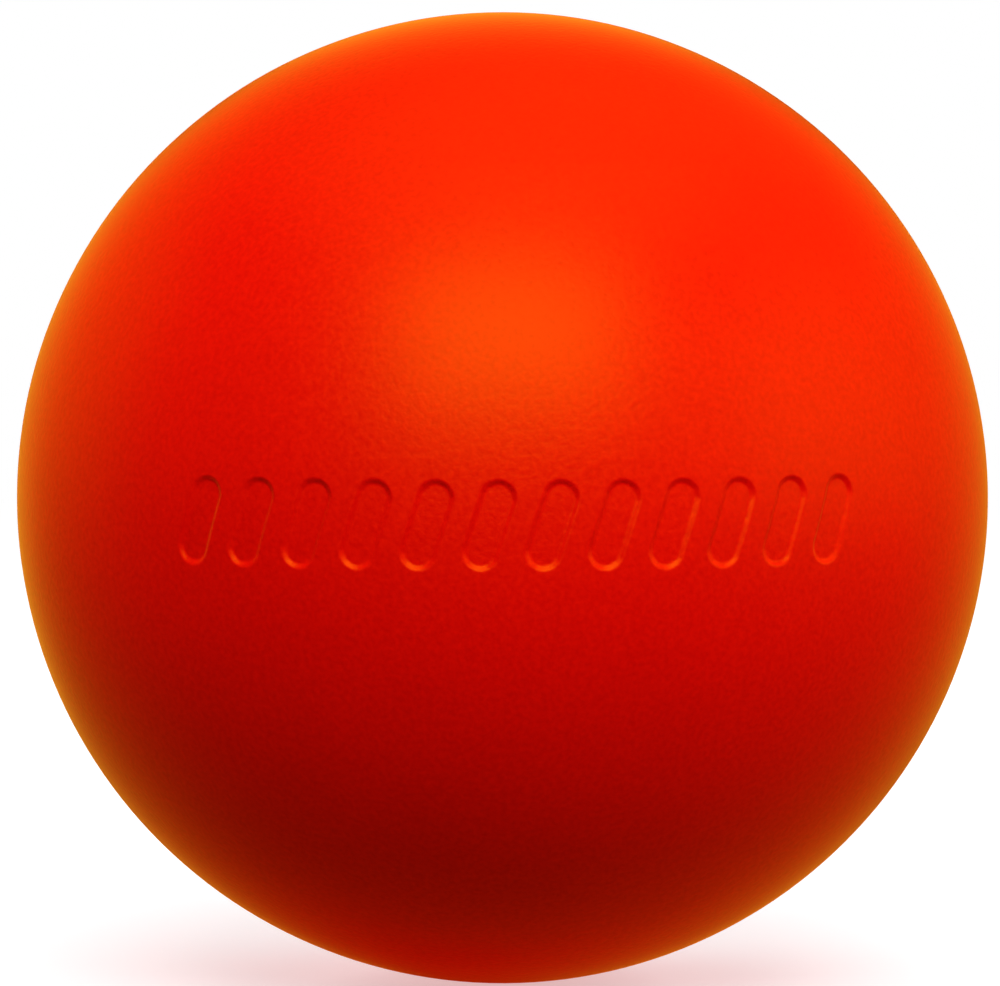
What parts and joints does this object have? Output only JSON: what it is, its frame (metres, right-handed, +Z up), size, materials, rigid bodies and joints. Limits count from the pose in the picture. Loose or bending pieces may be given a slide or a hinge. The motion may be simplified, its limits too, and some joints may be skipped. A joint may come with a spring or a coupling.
{
  "type": "lacrosse ball",
  "caption": "Solid rubber ball with a fine matt grain, a trimmed flash line round it and a debossed band of leaning bars.",
  "frame": {"origin": "centre of the ball", "axes": "-Y towards the middle of the debossed band, +Z up across the band, +X along the band to the right; the half moulds part on the plane y = 0"},
  "size_m": [0.0636, 0.0636, 0.0636],
  "materials": {
    "rubber": "vivid orange-red moulded rubber, matt, with a fine sand-blasted grain"
  },
  "bodies": {
    "root": {"ball": "rubber"}
  },
  "joints": []
}
